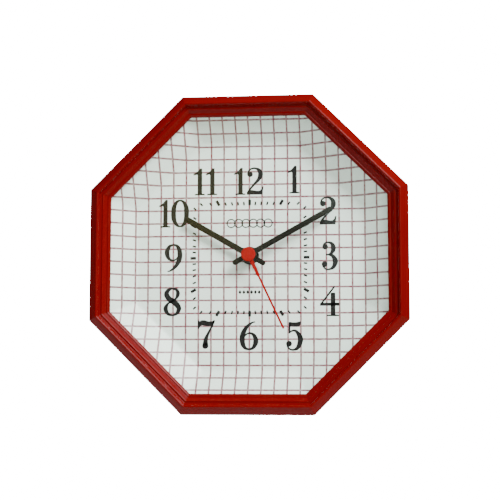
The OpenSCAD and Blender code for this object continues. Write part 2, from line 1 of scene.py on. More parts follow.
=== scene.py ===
import math
import bpy
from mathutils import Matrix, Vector


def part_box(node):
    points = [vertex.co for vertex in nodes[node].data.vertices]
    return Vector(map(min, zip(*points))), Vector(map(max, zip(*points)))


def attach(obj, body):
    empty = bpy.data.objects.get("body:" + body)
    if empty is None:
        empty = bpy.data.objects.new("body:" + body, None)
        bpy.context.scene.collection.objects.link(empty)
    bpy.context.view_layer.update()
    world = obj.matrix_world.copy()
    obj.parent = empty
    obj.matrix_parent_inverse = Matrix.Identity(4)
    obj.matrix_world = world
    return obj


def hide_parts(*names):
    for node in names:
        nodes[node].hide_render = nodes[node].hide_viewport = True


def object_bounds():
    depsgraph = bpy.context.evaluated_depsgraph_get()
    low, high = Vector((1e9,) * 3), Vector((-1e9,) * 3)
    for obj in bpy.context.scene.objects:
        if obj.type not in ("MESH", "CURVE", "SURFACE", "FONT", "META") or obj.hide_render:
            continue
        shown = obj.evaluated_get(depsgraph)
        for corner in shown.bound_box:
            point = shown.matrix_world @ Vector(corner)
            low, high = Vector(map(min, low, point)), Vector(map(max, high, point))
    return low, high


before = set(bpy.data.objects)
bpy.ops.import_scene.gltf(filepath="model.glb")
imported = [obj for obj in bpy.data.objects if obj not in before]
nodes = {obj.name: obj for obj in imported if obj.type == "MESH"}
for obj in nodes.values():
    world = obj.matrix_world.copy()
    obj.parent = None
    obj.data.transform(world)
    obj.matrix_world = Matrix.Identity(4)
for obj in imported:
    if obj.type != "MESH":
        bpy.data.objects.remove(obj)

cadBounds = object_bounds()
mm = 0.001  # every modelling size below is in millimetres
octagon = 8
mitreTurn = math.pi / octagon
print("frame loaded:", len(nodes), "nodes")


def boxOf(node):
    low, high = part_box(node)
    return [v / mm for v in low], [v / mm for v in high]


def cornerRadius(apothem):
    return apothem / math.cos(mitreTurn)


def around(radius, degrees):  # a place on the front view, measured from three o'clock
    a = math.radians(degrees)
    return radius * math.cos(a), radius * math.sin(a)


# modelling helpers: shapes are drawn facing up, then stood up to face the room

def clearSelection():
    if bpy.context.object and bpy.context.object.mode != "OBJECT":
        bpy.ops.object.mode_set(mode="OBJECT")
    bpy.ops.object.select_all(action="DESELECT")


def pick(thing):
    clearSelection()
    thing.select_set(True)
    bpy.context.view_layer.objects.active = thing
    return thing


def applyPlace(thing):
    pick(thing)
    bpy.ops.object.transform_apply(location=True, rotation=True, scale=True)
    return thing


def standUp(thing):
    thing.rotation_euler = (math.pi / 2, 0, 0)
    return applyPlace(thing)


def tidyMesh(thing, outward=True):
    pick(thing)
    bpy.ops.object.mode_set(mode="EDIT")
    bpy.ops.mesh.select_all(action="SELECT")
    bpy.ops.mesh.remove_doubles(threshold=0.002 * mm)
    if outward:
        bpy.ops.mesh.normals_make_consistent(inside=False)
    bpy.ops.object.mode_set(mode="OBJECT")
    return thing


def softenEdges(thing, width, segments=2, degrees=30):
    pick(thing)
    bevel = thing.modifiers.new("softEdge", "BEVEL")
    bevel.width = width * mm
    bevel.segments = segments
    bevel.limit_method = "ANGLE"
    bevel.angle_limit = math.radians(degrees)
    bpy.ops.object.modifier_apply(modifier=bevel.name)
    return thing


def shadeSoft(thing, degrees=35):
    pick(thing)
    bpy.ops.object.shade_smooth_by_angle(angle=math.radians(degrees))
    return thing


def joinAll(things):
    clearSelection()
    for thing in things:
        thing.select_set(True)
    bpy.context.view_layer.objects.active = things[0]
    if len(things) > 1:
        bpy.ops.object.join()
    return things[0]


def copyOf(thing):
    pick(thing)
    bpy.ops.object.duplicate(linked=False)
    return bpy.context.object


def softCorners(corners, steps=5):  # (inset, depth, cut): a corner with a cut becomes a small curve
    longest = 0.48  # a cut takes less than half of either side
    path = []
    for i, (x, y, cut) in enumerate(corners):
        here = Vector((x, y))
        if cut <= 0:
            path.append(here)
            continue
        before = Vector(corners[i - 1][:2]) - here
        after = Vector(corners[(i + 1) % len(corners)][:2]) - here
        start = here + before.normalized() * min(cut, before.length * longest)
        end = here + after.normalized() * min(cut, after.length * longest)
        for k in range(steps + 1):
            t = k / steps
            path.append(start * (1 - t) ** 2 + here * 2 * t * (1 - t) + end * t ** 2)
    return [(p.x, p.y) for p in path]


def ringStep(radius, nextRadius, rise):
    bpy.ops.mesh.extrude_region_move(TRANSFORM_OT_translate={"value": (0, 0, rise * mm)})
    grow = nextRadius / radius
    bpy.ops.transform.resize(value=(grow, grow, 1), center_override=(0, 0, 0))


# section holds (radius, depth) places, and ends is join, cap or open
def stackRings(section, sides=octagon, ends="join"):
    clearSelection()
    turn = mitreTurn if sides == octagon else 0
    bpy.ops.mesh.primitive_circle_add(
        vertices=sides, radius=section[0][0] * mm, fill_type="NOTHING", rotation=(0, 0, turn)
    )
    thing = bpy.context.object
    thing.location.z = section[0][1] * mm
    applyPlace(thing)
    bpy.ops.object.mode_set(mode="EDIT")
    bpy.ops.mesh.select_all(action="SELECT")
    if ends == "cap":
        bpy.ops.mesh.duplicate()
        bpy.ops.mesh.edge_face_add()
        bpy.ops.mesh.select_all(action="DESELECT")
        bpy.ops.object.mode_set(mode="OBJECT")
        for vertex in thing.data.vertices[:sides]:
            vertex.select = True
        bpy.ops.object.mode_set(mode="EDIT")
        bpy.ops.mesh.select_mode(type="VERT")
    for (r, d), (nextR, nextD) in zip(section, section[1:]):
        ringStep(r, nextR, nextD - d)
    if ends == "join":
        ringStep(section[-1][0], section[0][0], section[0][1] - section[-1][1])
    if ends == "cap":
        bpy.ops.mesh.edge_face_add()
    bpy.ops.object.mode_set(mode="OBJECT")
    return tidyMesh(thing, outward=ends != "open")


def bevelMitres(thing, width, segments=3, minRadius=0):  # rounds the edges where two sides meet
    inLine = 0.9999
    pick(thing)
    bpy.ops.object.mode_set(mode="EDIT")
    bpy.ops.mesh.select_mode(type="EDGE")
    bpy.ops.mesh.select_all(action="DESELECT")
    bpy.ops.object.mode_set(mode="OBJECT")
    places = thing.data.vertices
    for edge in thing.data.edges:
        a, b = (places[i].co.xy for i in edge.vertices)
        nearest = min(a.length, b.length)
        sameWay = nearest > 0 and a.normalized().dot(b.normalized()) > inLine
        edge.select = sameWay and nearest > minRadius * mm
    bpy.ops.object.mode_set(mode="EDIT")
    bpy.ops.mesh.bevel(offset=width * mm, offset_type="OFFSET", segments=segments, affect="EDGES")
    bpy.ops.object.mode_set(mode="OBJECT")
    return tidyMesh(thing)


def drawPlate(outlines, low, thick):  # the first outline is the outside and the rest are holes
    clearSelection()
    drawing = bpy.data.curves.new("drawing", "CURVE")
    drawing.dimensions = "2D"
    drawing.fill_mode = "BOTH"
    drawing.extrude = thick / 2 * mm
    for outline in outlines:
        spline = drawing.splines.new("POLY")
        spline.points.add(len(outline) - 1)
        for point, (x, y) in zip(spline.points, outline):
            point.co = (x * mm, y * mm, 0, 1)
        spline.use_cyclic_u = True
    thing = bpy.data.objects.new("drawing", drawing)
    bpy.context.scene.collection.objects.link(thing)
    pick(thing)
    bpy.ops.object.convert(target="MESH")
    thing = bpy.context.object
    thing.location.z = (low + thick / 2) * mm
    applyPlace(thing)
    return tidyMesh(thing)


def circleOutline(radius, count=48, x=0, y=0):
    turns = [2 * math.pi * i / count for i in range(count)]
    return [(x + radius * math.cos(a), y + radius * math.sin(a)) for a in turns]


def barOutline(x, y, halfWide, halfTall):
    return [(x - halfWide, y - halfTall), (x + halfWide, y - halfTall),
            (x + halfWide, y + halfTall), (x - halfWide, y + halfTall)]


def strokeOutline(path, steps=7):  # a smooth pen line through (x, y, width) places
    if len(path) == 2:
        steps = 1
    line = []
    for i in range(len(path) - 1):
        p0, p1, p2, p3 = (Vector(path[min(max(j, 0), len(path) - 1)]) for j in (i - 1, i, i + 1, i + 2))
        for k in range(steps + (i == len(path) - 2)):
            t = k / steps
            line.append(0.5 * (2 * p1 + (p2 - p0) * t + (2 * p0 - 5 * p1 + 4 * p2 - p3) * t ** 2
                               + (3 * p1 - p0 - 3 * p2 + p3) * t ** 3))
    left, right = [], []
    for i, p in enumerate(line):
        along = (line[min(i + 1, len(line) - 1)] - line[max(i - 1, 0)]).xy.normalized()
        across = Vector((-along.y, along.x)) * p.z / 2
        left.append((p.x + across.x, p.y + across.y))
        right.append((p.x - across.x, p.y - across.y))
    return left + right[::-1]


def finishPiece(thing, name, finish, body, slot, *replaced):
    thing.name = name
    thing.data.name = name
    thing.data.materials.clear()
    thing.data.materials.append(finish)
    if replaced:
        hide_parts(*replaced)
    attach(thing, body)
    return thing


# finishes

class Signal:  # a socket that can be used in sums
    def __init__(self, finish, socket):
        self.finish = finish
        self.socket = socket

    def sum(self, operation, *values):
        return self.finish.add("ShaderNodeMath", {"operation": operation}, dict(enumerate(values)))

    def __add__(self, other):
        return self.sum("ADD", self, other)

    __radd__ = __add__

    def __mul__(self, other):
        return self.sum("MULTIPLY", self, other)

    __rmul__ = __mul__

    def __sub__(self, other):
        return self.sum("SUBTRACT", self, other)

    def __rsub__(self, other):
        return self.sum("SUBTRACT", other, self)

    def __truediv__(self, other):
        return self.sum("DIVIDE", self, other)

    def __rtruediv__(self, other):
        return self.sum("DIVIDE", other, self)

    def size(self):
        return self.sum("ABSOLUTE", self)

    def sign(self):
        return self.sum("SIGN", self)

    def rest(self):  # what is left of the number after its whole part
        return self.sum("FRACT", self)

    def power(self, exponent):
        return self.sum("POWER", self, exponent)

    def atLeast(self, other):
        return self.sum("MAXIMUM", self, other)


class Finish:
    def __init__(self, name, holder=None, coordinates="Object"):
        self.material = holder or bpy.data.materials.new(name)
        self.material.use_nodes = True
        self.tree = self.material.node_tree
        self.tree.nodes.clear()
        self.place = self.add("ShaderNodeTexCoord", {}, {}, coordinates)

    def split(self, vector):
        first = self.add("ShaderNodeSeparateXYZ", {}, {0: vector})
        return [Signal(self, out) for out in first.socket.node.outputs]

    def axes(self):  # the place in millimetres along X, Y and Z
        return [part * 1000 for part in self.split(self.place)]

    def add(self, kind, settings, inputs, out=0):  # inputs hold values or signals
        node = self.tree.nodes.new(kind)
        for key, value in settings.items():
            setattr(node, key, value)
        for key, value in inputs.items():
            if isinstance(value, Signal):
                self.tree.links.new(value.socket, node.inputs[key])
            else:
                node.inputs[key].default_value = value
        return Signal(self, node.outputs[out]) if node.outputs else None

    def noise(self, perMetre, detail=2.0, roughness=0.5, stretch=(1, 1, 1)):
        at = self.place
        if stretch != (1, 1, 1):
            at = self.add("ShaderNodeMapping", {}, {"Vector": at, "Scale": stretch})
        return self.add("ShaderNodeTexNoise", {}, {
            "Vector": at, "Scale": perMetre, "Detail": detail, "Roughness": roughness})

    def ramp(self, value, low, high, lowTone=0.0, highTone=1.0):
        return self.add("ShaderNodeMapRange", {}, {
            "Value": value, "From Min": low, "From Max": high, "To Min": lowTone, "To Max": highTone})

    def blendColour(self, amount, first, second):
        return self.add("ShaderNodeMix", {"data_type": "RGBA"}, {0: amount, 6: first, 7: second}, 2)

    def bump(self, height, distance, strength=1.0):
        return self.add("ShaderNodeBump", {}, {
            "Height": height, "Distance": distance * mm, "Strength": strength})

    def surface(self, **sockets):
        shader = self.add("ShaderNodeBsdfPrincipled", {}, sockets)
        self.output(shader)
        return self.material

    def output(self, shader, kind="ShaderNodeOutputMaterial"):
        self.add(kind, {}, {"Surface": shader})


def srgb(r, g, b):  # display colour 0..255 to a linear colour
    def linear(v):
        v /= 255
        return v / 12.92 if v <= 0.04045 else ((v + 0.055) / 1.055) ** 2.4
    return (linear(r), linear(g), linear(b), 1)


redMoulding = {
    "colour": (0.092, 0.0003, 0.0002, 1), "deep": (0.082, 0.0002, 0.0002, 1),
    "worn": (0.10, 0.002, 0.001, 1), "wear": 0.3, "roughness": 0.3, "shine": 0.1,
    "peelPerMetre": 420, "peelHeight": 0.04,
}


def mouldedRed(name, look):
    f = Finish(name)
    cloud = f.noise(22, 3)
    speck = f.noise(2600, 1)
    peel = f.noise(look["peelPerMetre"], 2)
    scuff = f.noise(60, 4, 0.6, (1, 5, 1))
    tone = f.blendColour(f.ramp(cloud, 0.35, 0.7), look["colour"], look["deep"])
    tone = f.blendColour(f.ramp(scuff, 0.62, 0.8) * look["wear"], tone, look["worn"])
    rough = f.ramp(scuff, 0.3, 0.8, look["roughness"] - 0.05, look["roughness"] + 0.1)
    rough = rough + f.ramp(speck, 0.6, 0.8) * 0.06
    return f.surface(**{
        "Base Color": tone, "Roughness": rough, "IOR": 1.46, "Specular IOR Level": look["shine"],
        "Normal": f.bump(peel + speck * 0.12, look["peelHeight"])})


dialPrint = {
    "sheet": (0.68, 0.80, 0.74, 1), "sheetWarm": (0.65, 0.75, 0.69, 1), "ink": (0.135, 0.002, 0.022, 1),
    "pitch": (10.0, 10.09), "lineWidth": 1.3, "lineEdge": (-0.06, 0.12), "shift": (-0.5, -4.4),
    "crease": 89.5, "squeeze": 0.10, "thinnestInk": 0.72, "waveHeight": 0.25,
}


def printedSheet(look):
    f = Finish("printedSheet")
    x, z = f.axes()[::2]
    halfLine = look["lineWidth"] / 2
    softFrom, softTo = look["lineEdge"]
    manySquares = 50.5  # puts a line through the middle and counts upwards from past the dial's edge
    lines = None
    for axis, shift, pitch in zip((x, z), look["shift"], look["pitch"]):
        beyond = (axis.size() - look["crease"]).atLeast(0) * look["squeeze"]
        run = axis + axis.sign() * beyond - shift
        near = ((run / pitch + manySquares).rest() - 0.5).size() * pitch
        line = f.ramp(near, halfLine + softFrom, halfLine + softTo, 1.0, 0.0)
        lines = line if lines is None else lines.atLeast(line)
    facing = f.split(f.add("ShaderNodeTexCoord", {}, {}, "Normal"))[1]
    frontOnly = f.ramp(facing, -0.3, -0.1, 1.0, 0.0)
    density = f.ramp(f.noise(700, 2), 0.3, 0.7, look["thinnestInk"], 1.0) * frontOnly
    cloud = f.ramp(f.noise(14, 3), 0.35, 0.7)
    sheet = f.blendColour(cloud, look["sheet"], look["sheetWarm"])
    tone = f.blendColour(lines * density, sheet, look["ink"])
    rough = f.ramp(f.noise(90, 3), 0.3, 0.7, 0.34, 0.46) - lines * 0.06
    height = f.noise(45, 2) * 0.8 + f.noise(1500, 1) * 0.03
    return f.surface(**{
        "Base Color": tone, "Roughness": rough, "IOR": 1.46,
        "Normal": f.bump(height, look["waveHeight"], 0.6)})


def inkBlack():
    f = Finish("dialInk")
    grain = f.noise(1800, 2)
    dense, thin = (0.004, 0.004, 0.004, 1), (0.012, 0.013, 0.011, 1)
    tone = f.blendColour(f.ramp(grain, 0.3, 0.75), dense, thin)
    return f.surface(**{
        "Base Color": tone, "Roughness": f.ramp(grain, 0.3, 0.7, 0.5, 0.62),
        "Specular IOR Level": 0.12, "Normal": f.bump(grain, 0.01)})


def paintedMetal(name, colour, shade, roughness, shine=0.12):
    f = Finish(name)
    brushed = f.noise(260, 3, 0.6, (1, 1, 6))
    speck = f.noise(3200, 1)
    tone = f.blendColour(f.ramp(brushed, 0.35, 0.7), colour, shade)
    rough = f.ramp(brushed, 0.3, 0.75, roughness - 0.06, roughness + 0.1)
    rough = rough + f.ramp(speck, 0.62, 0.7) * 0.15
    return f.surface(**{
        "Base Color": tone, "Roughness": rough, "Specular IOR Level": shine,
        "Normal": f.bump(brushed * 0.4 + speck * 0.1, 0.02)})


def metalSkin(name, colour, shade, roughness, stretch=(1, 1, 1), perMetre=300):
    f = Finish(name)
    grain = f.noise(perMetre, 4, 0.65, stretch)
    stain = f.noise(45, 3)
    tone = f.blendColour(f.ramp(stain, 0.35, 0.75), colour, shade)
    rough = f.ramp(grain, 0.25, 0.8, roughness - 0.08, roughness + 0.14)
    return f.surface(**{
        "Base Color": tone, "Roughness": rough, "Metallic": 1.0, "Normal": f.bump(grain, 0.02)})


def sparkPlastic(name, colour, shade, roughness, grainPerMetre=1500, height=0.05):
    f = Finish(name)
    spark = f.noise(grainPerMetre, 3, 0.7)
    cloud = f.noise(30, 2)
    tone = f.blendColour(f.ramp(cloud, 0.3, 0.75), colour, shade)
    rough = f.ramp(spark, 0.3, 0.7, roughness - 0.06, roughness + 0.1)
    return f.surface(**{"Base Color": tone, "Roughness": rough, "Normal": f.bump(spark, height)})


clearPlastic = {"faceGloss": 0.035, "edgeGloss": 0.9, "tint": (0.985, 0.992, 0.988, 1)}


def clearPane(look):
    f = Finish("clearPane")
    smear = f.ramp(f.noise(18, 4, 0.6, (1, 1, 2.4)), 0.35, 0.75, 0.03, 0.09)
    grazing = f.add("ShaderNodeLayerWeight", {}, {"Blend": 0.5}, "Facing").power(5)
    amount = grazing * look["edgeGloss"] + look["faceGloss"]
    gloss = f.add("ShaderNodeBsdfGlossy", {}, {"Roughness": smear, "Color": (1, 1, 1, 1)})
    through = f.add("ShaderNodeBsdfTransparent", {}, {"Color": look["tint"]})
    f.output(f.add("ShaderNodeMixShader", {}, {0: amount, 1: through, 2: gloss}))
    return f.material


# grooveShade is a painted shade colour for the gaps between wire turns, and crown is the copper of each turn
copperWire = {"turnsPerMm": 4, "grooveShade": (110, 48, 22), "crown": (196, 104, 58)}


def woundWire(look):
    f = Finish("copperWinding")
    z = f.axes()[2]
    manyTurns = 200  # keeps the count above nought along the coil
    crown = 1 - ((z * look["turnsPerMm"] + manyTurns).rest() - 0.5).size() * 2
    # the copper darkens from each turn's crown to the gap between turns, a painted shade there
    tone = f.blendColour(crown, srgb(*look["grooveShade"]), srgb(*look["crown"]))
    return f.surface(**{
        "Base Color": tone, "Roughness": 0.32, "Metallic": 0.8, "Normal": f.bump(crown, 0.08)})


mouldedFrameRed = mouldedRed("mouldedRed", redMoulding)
sheetFinish = printedSheet(dialPrint)
inkFinish = inkBlack()
handBlack = paintedMetal("handBlack", (0.006, 0.006, 0.004, 1), (0.012, 0.012, 0.008, 1), 0.3)
handRed = paintedMetal("handRed", (0.22, 0.0012, 0.001, 1), (0.20, 0.001, 0.001, 1), 0.5, 0.05)
oxideFinish = paintedMetal("blackOxide", (0.008, 0.008, 0.008, 1), (0.016, 0.016, 0.015, 1), 0.42)
paneFinish = clearPane(clearPlastic)
zincFinish = metalSkin("zincPlate", srgb(186, 188, 190), srgb(158, 160, 160), 0.34, (1, 1, 8))
steelFinish = metalSkin("hangerSteel", srgb(176, 178, 180), srgb(150, 150, 148), 0.3, (1, 1, 12))
brassFinish = metalSkin("brassHardware", srgb(206, 168, 92), srgb(176, 138, 70), 0.26)
nickelFinish = metalSkin("nickelStrip", srgb(200, 196, 186), srgb(170, 166, 158), 0.28, (8, 1, 1))
laminationFinish = metalSkin(
    "laminatedIron", srgb(120, 122, 124), srgb(92, 94, 96), 0.42, (1, 20, 1), 500)
magnetFinish = sparkPlastic("rotorMagnet", srgb(52, 50, 50), srgb(38, 36, 36), 0.5)
rubberFinish = sparkPlastic("washerRubber", srgb(24, 24, 24), srgb(34, 34, 33), 0.78, 900, 0.08)
caseFinish = sparkPlastic("caseBlack", srgb(26, 26, 28), srgb(34, 34, 36), 0.44)
creamFinish = sparkPlastic("wheelCream", srgb(226, 218, 196), srgb(212, 203, 178), 0.4, 900, 0.02)
boardFinish = sparkPlastic("boardTan", srgb(150, 110, 60), srgb(128, 92, 48), 0.55, 2600, 0.02)
chipFinish = sparkPlastic("chipBlack", srgb(20, 20, 20), srgb(30, 30, 30), 0.3, 400, 0.2)
sleeveFinish = paintedMetal("cellSleeve", srgb(40, 66, 120), srgb(34, 56, 104), 0.3, 0.5)
bandFinish = paintedMetal("cellBand", srgb(206, 204, 196), srgb(188, 186, 178), 0.3, 0.5)
markFinish = sparkPlastic("raisedMark", srgb(196, 196, 190), srgb(172, 172, 166), 0.5)
wireFinish = woundWire(copperWire)
print("finishes made")


# frame moulding

frameShape = {  # insets are from the outside, depths from the wall, and cuts soften a corner
    "outside": [(0.0, 41.0, 1.0), (6.5, 47.45, 1.1), (7.8, 46.6, 0.7), (8.8, 43.6, 0.45),
                (10.0, 43.55, 0.35), (10.5, 43.95, 0.4), (11.1, 43.5, 0.4), (13.5, 40.9, 0.4),
                (14.3, 41.25, 0.5), (15.0, 40.75, 0.4), (16.0, 39.9, 0.6)],
    "inside": [(6.9, 44.3), (2.5, 40.0)],
    "draft": 0.9, "draftEnd": 40.2, "mitreRound": 0.5, "wall": 2.2, "seamRound": 0.25,
    "ribWidth": 2.2, "ribRoot": 41.3, "seatWidth": 6.5, "flangeRoom": 1.0,
    "bossPlaces": [0, 90, 180, 270], "bossRadius": 2.4, "bossHole": 1.4, "bossLength": 6.8, "bossGap": 0.3,
}


def buildFrame(shape):
    high = boxOf("front_frame")[1]
    outer = high[0]
    seam = -high[1]
    paneLow, paneHigh = boxOf("lens")
    paneFront = -paneLow[1]
    flangeBack = -paneHigh[1] - shape["flangeRoom"]
    lipInset = shape["outside"][-1][0]
    seat = outer - lipInset + shape["seatWidth"]
    rib = seat + shape["ribWidth"]
    seamOut = shape["draft"] * (1 - seam / shape["draftEnd"])
    skirt = [(seamOut + shape["wall"], seam, 0), (seamOut, seam, shape["seamRound"])]
    path = softCorners(skirt + shape["outside"] + [(lipInset, paneFront, 0)])
    section = [(outer - inset, depth) for inset, depth in path]
    section += [(seat, paneFront), (seat, flangeBack), (rib, flangeBack), (rib, shape["ribRoot"])]
    section += [(outer - inset, depth) for inset, depth in shape["inside"]]
    thing = stackRings([(cornerRadius(a), d) for a, d in section])
    bevelMitres(thing, shape["mitreRound"])
    standUp(thing)
    shadeSoft(thing, 40)
    rings = [circleOutline(shape["bossRadius"], 32), circleOutline(shape["bossHole"], 24)]
    pattern = drawPlate(rings, flangeBack + shape["bossGap"], shape["bossLength"])
    bosses = []
    for degrees in shape["bossPlaces"]:
        x, y = around((rib + outer - shape["draft"] - shape["wall"]) / 2, degrees)
        boss = copyOf(pattern)
        boss.location = (x * mm, y * mm, 0)
        bosses.append(standUp(applyPlace(boss)))
    bpy.data.objects.remove(pattern)
    joinAll([thing] + bosses)
    return finishPiece(thing, "frameMoulding", mouldedFrameRed, "case", "red_plastic", "front_frame")


ringShape = {
    "start": 0.05, "startRound": 0.3, "draftShare": 0.6, "tongueRoom": 0.1,
    "tongueOut": 0.05, "tongueIn": 1.05, "tongueRoot": 1,
}


def buildRing(front, shape):  # its wall and rounding follow the front part's
    low, high = boxOf("rear_ring")
    outer = high[0]
    seam = -boxOf("front_frame")[1][1]
    tongue = -low[1]
    start = shape["start"]
    inner = outer - front["wall"] - shape["tongueRoom"]
    tongueOut, tongueIn = inner - shape["tongueOut"], inner - shape["tongueIn"]
    path = softCorners([
        (inner, start, 0), (outer - front["draft"] * shape["draftShare"], start, shape["startRound"]),
        (outer, seam, front["seamRound"]), (tongueOut, seam, 0), (tongueOut, tongue, 0),
        (tongueIn, tongue, 0), (tongueIn, seam - shape["tongueRoot"], 0)], 3)
    thing = stackRings([(cornerRadius(a), d) for a, d in path])
    bevelMitres(thing, front["mitreRound"])
    standUp(thing)
    shadeSoft(thing, 40)
    return finishPiece(thing, "frameRearRing", mouldedFrameRed, "case", "red_plastic", "rear_ring")


buildFrame(frameShape)
buildRing(frameShape, ringShape)
print("frame moulding made")


# dial sheet

dialShape = {
    "crease": 89.5, "creaseSoft": 2.4, "rimSoft": 1.0, "flange": 3.5, "sheet": 1.0, "hole": 4.1,
    "middle": 50, "facetSoft": 2.2, "facetFrom": 4,
}


def buildDial(shape):
    low, high = boxOf("dial")
    rim, rimFront = high[0], -low[1]
    flat = -high[1] + shape["sheet"]
    path = softCorners([
        (rim, rimFront, 0), (rim - shape["flange"], rimFront, shape["rimSoft"]),
        (shape["crease"], flat, shape["creaseSoft"]), (shape["middle"], flat, 0)], 7)
    thing = stackRings([(cornerRadius(a), d) for a, d in path], ends="open")
    bevelMitres(thing, shape["facetSoft"], 4, cornerRadius(shape["crease"] - shape["facetFrom"]))
    pick(thing)
    bpy.ops.object.mode_set(mode="EDIT")
    bpy.ops.mesh.select_all(action="DESELECT")
    bpy.ops.mesh.primitive_circle_add(
        vertices=64, radius=shape["hole"] * mm, fill_type="NOTHING", location=(0, 0, flat * mm))
    bpy.ops.mesh.select_mode(type="EDGE")
    bpy.ops.object.mode_set(mode="OBJECT")
    places = thing.data.vertices
    reach = (cornerRadius(shape["middle"]) + 0.5) * mm
    for edge in thing.data.edges:
        edge.select = max(places[i].co.xy.length for i in edge.vertices) < reach
    bpy.ops.object.mode_set(mode="EDIT")
    bpy.ops.mesh.fill(use_beauty=True)
    bpy.ops.mesh.select_all(action="SELECT")
    bpy.ops.mesh.normals_make_consistent(inside=False)
    bpy.ops.object.mode_set(mode="OBJECT")
    facing = max(thing.data.polygons, key=lambda p: p.area).normal.z
    if facing < 0:
        bpy.ops.object.mode_set(mode="EDIT")
        bpy.ops.mesh.flip_normals()
        bpy.ops.object.mode_set(mode="OBJECT")
    wall = thing.modifiers.new("sheet", "SOLIDIFY")
    wall.thickness = shape["sheet"] * mm
    wall.offset = -1
    bpy.ops.object.modifier_apply(modifier=wall.name)
    standUp(thing)
    shadeSoft(thing, 30)
    return finishPiece(thing, "dialSheet", sheetFinish, "case", "dial_sheet", "dial")


buildDial(dialShape)
print("dial sheet made")


# printed minute track and numerals

printing = {"height": 0.04, "standOff": 0.005, "offset": (-0.3, -1.6)}

numerals = {
    "gap": 1.0, "weight": 0.22,
    "places": {  # the middle, the width and the height of each number
        "12": (-0.8, 60.5, 23.6, 21.7), "1": (34.5, 61.1, 9.1, 21.8), "2": (61.3, 36.4, 13.1, 22.0),
        "3": (62.4, 0.9, 12.6, 22.5), "4": (62.1, -33.9, 15.3, 23.6), "5": (34.9, -60.9, 13.2, 22.8),
        "6": (-0.5, -60.7, 14.7, 22.5), "7": (-33.8, -59.6, 13.6, 22.3), "8": (-60.8, -34.1, 14.2, 22.5),
        "9": (-60.1, 0.5, 14.2, 22.2), "10": (-60.0, 35.6, 24.1, 22.0), "11": (-35.2, 60.5, 19.2, 21.3)},
}

